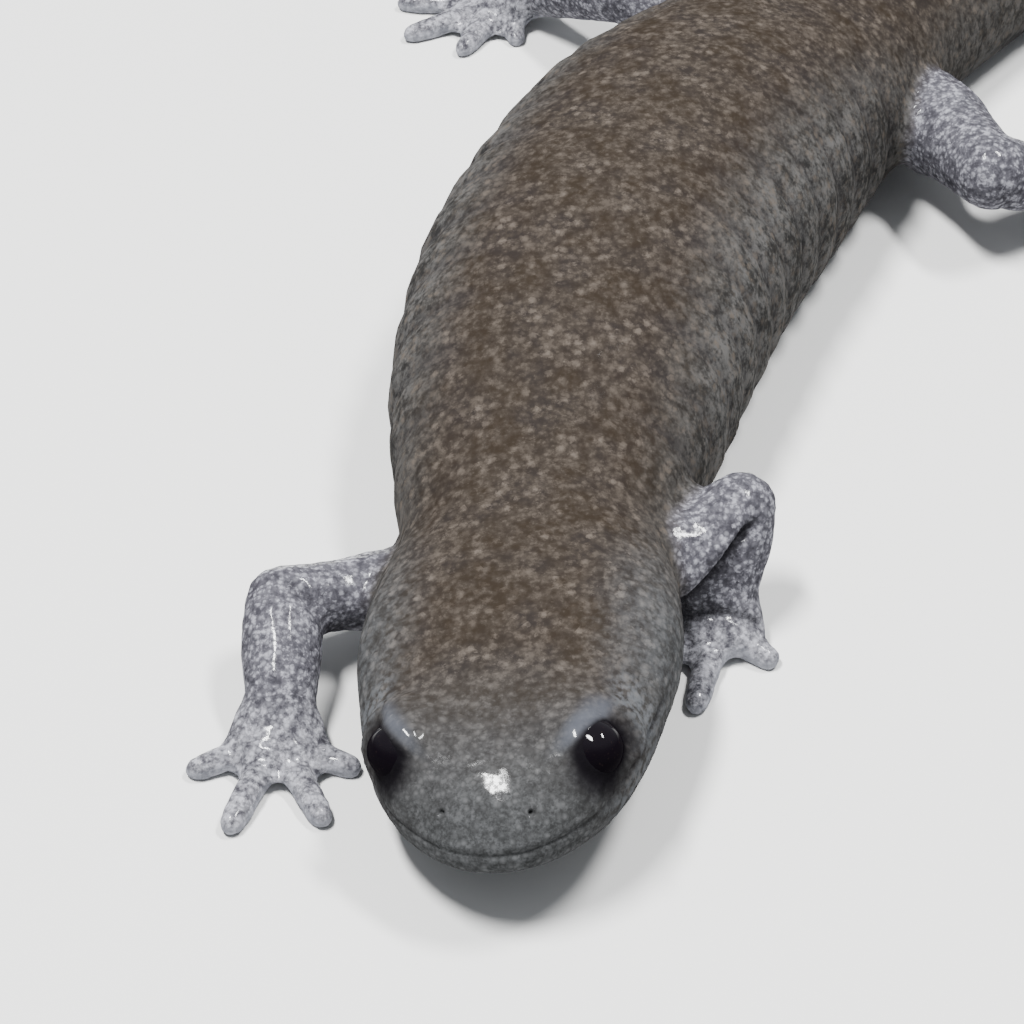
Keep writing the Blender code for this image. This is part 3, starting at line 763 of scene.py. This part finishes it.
def skin_material():
    """Wet skin: a mottled ground with pale flecks, tinted by region."""
    s = Shader("wet_skin")
    place = s.object_place()
    limb, flank, cool_tint_and_painted_sheen, belly = s.attribute("regions")
    lid, rim, muzzle, painted_fold_shade = s.attribute("face")
    wet, thin, pale_cheek_and_painted_light, glint = s.attribute("film")

    broad = s.noise(place, 2.4, 2.0)
    cloud = s.noise(place, 0.40, 3.0, 0.6)
    grain = s.noise(place, 0.19, 3.0, 0.65)
    dust = s.noise(place, 0.11, 2.0, 0.7)
    patches = s.noise(place, 0.8, 2.0, 0.55)
    streak = s.noise(s.stretched(place, (1.0, 1.0, 0.55)), 0.46, 4.0, 0.68)
    soft = (cloud * 0.45 + patches * 0.35 + grain * 0.2).between(0.38, 0.62)
    fine = (grain * 0.6 + dust * 0.4 + (patches - 0.5) * 0.2).between(0.34, 0.68)
    dense = (grain * 0.35 + dust * 0.25 + cloud * 0.4 + (patches - 0.5) * 0.25).between(0.36, 0.66)
    blotched = (streak * 0.7 + grain * 0.3 + (broad - 0.5) * 0.25).between(0.38, 0.64)
    ragged = grain * 0.6 + dust * 0.4
    large = s.flecks(place, 0.50, ragged)
    small = s.flecks(place, 0.29, ragged)
    sharp = (cloud * 0.35 + grain * 0.65 + (patches - 0.5) * 0.3).between(0.52, 0.68)
    hand = limb * belly

    # The dark ground and the pale mottling on it: on the back, the cool face, whose bluish grey is
    # partly a painted reflection of the pale sky, flanks and limbs
    ground = s.mix(broad.between(0.36, 0.64), (0.0182, 0.0139, 0.0103), (0.0168, 0.0140, 0.0128))
    ground = s.mix(cool_tint_and_painted_sheen, ground, (0.0215, 0.0219, 0.0223))
    ground = s.mix(flank, ground, (0.0155, 0.0152, 0.0149))
    ground = s.mix(limb, ground, (0.031, 0.030, 0.036))
    pale = s.mix(cool_tint_and_painted_sheen, (0.0285, 0.0235, 0.0194), (0.050, 0.0515, 0.0532))
    pale = s.mix(flank, pale, (0.072, 0.070, 0.068))
    pale = s.mix(limb, pale, (0.090, 0.088, 0.102))
    pale = s.mix(hand, pale, (0.235, 0.235, 0.256))
    tone = s.mix(limb, s.mix(flank, s.mix(cool_tint_and_painted_sheen, soft, fine), blotched), dense)
    colour = s.mix(tone, ground, pale)
    # Paler blue-grey on the cheeks, behind the eyes and along the lower lip: partly skin colour, partly
    # painted reflected light
    colour = s.mix(pale_cheek_and_painted_light * cloud.between(0.36, 0.62) * 0.32, colour, (0.068, 0.072, 0.078))

    # Flecks, then what lies over them: belly, toes' edges partly painted as lit through, lids, painted
    # shade in the folds and the eyes' rims
    bright = s.mix(cool_tint_and_painted_sheen, (0.080, 0.067, 0.056), (0.100, 0.102, 0.105))
    crowded = (patches * 0.5 + broad * 0.5).between(0.38, 0.58) * 0.65 + 0.35
    colour = s.mix(large * crowded * (1.0 - limb) * (1.0 - muzzle) * 0.8, colour, bright)
    colour = s.mix(small * crowded * (1.0 - limb) * (cool_tint_and_painted_sheen * 0.2 + 0.35), colour, bright)
    colour = s.mix(sharp * (1.0 - limb) * (0.3 - muzzle * 0.1), colour, bright)
    colour = s.mix(small * limb * 0.5, colour, (0.36, 0.36, 0.40))
    colour = s.mix(sharp * limb * 0.5, colour, (0.34, 0.34, 0.38))
    colour = s.mix(belly * (1.0 - limb) * 0.6, colour, (0.020, 0.021, 0.024))
    # Pale toe edges: partly paler skin, partly painted light shining through it
    colour = s.mix(thin * 0.45, colour, (0.30, 0.31, 0.35))
    colour = s.mix(lid * 0.65, colour, (0.057, 0.062, 0.076))
    # Painted shade in the rib grooves, the mouth line and the limbs' creases
    colour = s.mix(painted_fold_shade * 0.75, colour, (0.010, 0.009, 0.011))
    colour = s.mix(rim * 0.97, colour, (0.0035, 0.0030, 0.0040))

    # Small relief, and the water's film broken up by the grain
    relief = dust * 0.5 + s.noise(place, 0.24, 2.0, 0.6) + s.noise(place, 1.2, 2.0) * 1.6
    relief = relief * (limb * 4.0 + 1.0)
    broken = grain.between(0.44, 0.56) * (limb * 0.12 + 0.75) + (0.25 - limb * 0.12)
    normal = s.add("ShaderNodeBump", None, {"Strength": 0.4, "Distance": 0.000025, "Height": relief})
    return s.finish(
        Base_Color=colour,
        Roughness=0.6,
        Specular_IOR_Level=0.0,
        Coat_Weight=wet * broken + glint * ragged.between(0.58, 0.66) * 0.25,
        Coat_Roughness=0.1,
        Coat_IOR=1.33,
        Normal=normal,
    )


def eye_material():
    """A nearly black eye with faint brown specks under its clear front."""
    s = Shader("dark_eye")
    place = s.object_place()
    specks = s.noise(place, 0.12, 3.0).between(0.62, 0.78)
    colour = s.mix(specks * 0.4, (0.0030, 0.0022, 0.0034), (0.022, 0.014, 0.012))
    return s.finish(
        Base_Color=colour,
        Roughness=0.4,
        Specular_IOR_Level=0.0,
        Coat_Weight=s.attribute("film")[0] * 0.8,
        Coat_Roughness=0.05,
        Coat_IOR=1.336,
    )


def make_eye(node, hand, material):
    """An eyeball with its clear, slightly bulging front turned the way the eye looks."""
    centre = Vector(eye_centre(node)) * MM
    way = Vector(back.outward(EYE_LOOK, hand))
    bpy.ops.mesh.primitive_uv_sphere_add(
        segments=64, ring_count=40, radius=EYE_RADIUS * MM, location=centre
    )
    eye = bpy.context.active_object
    eye.name = eye.data.name = node.replace("eye", "eyeball")
    eye.rotation_mode = "QUATERNION"
    eye.rotation_quaternion = way.to_track_quat("Z", "Y")
    bpy.ops.object.transform_apply(location=True, rotation=True, scale=True)
    places = vertices_of(eye)
    off = places - np.array(centre) / MM
    facing = off @ np.array(way) / EYE_RADIUS
    places += np.array(way) * (CORNEA_BULGE * smooth_step(facing, 0.62, 1.0))[:, None]
    move_vertices(eye, places)
    bpy.ops.object.shade_smooth()
    keep_film(eye, 0.55, 0.80)
    eye.data.materials.append(material)
    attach(eye, "root")
    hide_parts(node)


FLOOR_SIZE = 3.0


def make_floor():
    """A plain pale floor."""
    bpy.ops.mesh.primitive_plane_add(size=FLOOR_SIZE, location=(0, 0, 0))
    floor = bpy.context.active_object
    floor.name = "floor"
    s = Shader("pale_floor")
    floor.data.materials.append(s.finish(Base_Color=(0.62, 0.62, 0.61), Roughness=0.75))


# Name, offset from between the eyes, power, length and width of each lamp, and the surround
KEY_LIGHTS = (
    ("key", (-0.125, -0.025, 0.43), 6.0, 0.19, 0.055),
    ("second", (0.166, 0.073, 0.40), 3.2, 0.15, 0.05),
)
SURROUND_COLOUR = (0.90, 0.94, 1.0, 1.0)
SURROUND_STRENGTH = 0.5


def make_lights():
    """Two soft lamps and a pale, even surround."""
    world = bpy.data.worlds.new("studio")
    world.use_nodes = True
    background = world.node_tree.nodes["Background"]
    background.inputs["Color"].default_value = SURROUND_COLOUR
    background.inputs["Strength"].default_value = SURROUND_STRENGTH
    bpy.context.scene.world = world
    middle = Vector(back.eye_middle) * MM
    for name, offset, energy, length, width in KEY_LIGHTS:
        light = bpy.data.lights.new(name, "AREA")
        light.shape = "ELLIPSE"
        light.energy = energy
        light.size, light.size_y = length, width
        lamp = bpy.data.objects.new(name, light)
        lamp.location = middle + Vector(offset)
        lamp.rotation_euler = (-Vector(offset)).to_track_quat("-Z", "Y").to_euler()
        bpy.context.scene.collection.objects.link(lamp)


# The camera looks down by this angle from a place given from between the eyes
CAMERA_ELEVATION = 40.0
CAMERA_FROM_EYES = (0.67, -119.08, 112.67)
FOCAL_PIXELS = 4000.0
IMAGE_PIXELS = 1024.0


def make_camera():
    """The camera, with the photo's framing."""
    lens = bpy.data.cameras.new("camera")
    lens.sensor_width = 36.0
    lens.lens = FOCAL_PIXELS / IMAGE_PIXELS * lens.sensor_width
    lens.clip_start = 0.005
    lens.clip_end = 10.0
    camera = bpy.data.objects.new("camera", lens)
    camera.location = (Vector(back.eye_middle) + Vector(CAMERA_FROM_EYES)) * MM
    camera.rotation_euler = (math.radians(90 - CAMERA_ELEVATION), 0.0, 0.0)
    bpy.context.scene.collection.objects.link(camera)
    bpy.context.scene.camera = camera


skin = make_skin()
paint_regions(skin)
skin.data.materials.append(skin_material())
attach(skin, "root")
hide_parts(*FLESH)
dark_eye = eye_material()
for node, hand in EYES.items():
    make_eye(node, hand, dark_eye)
make_floor()
make_lights()
make_camera()
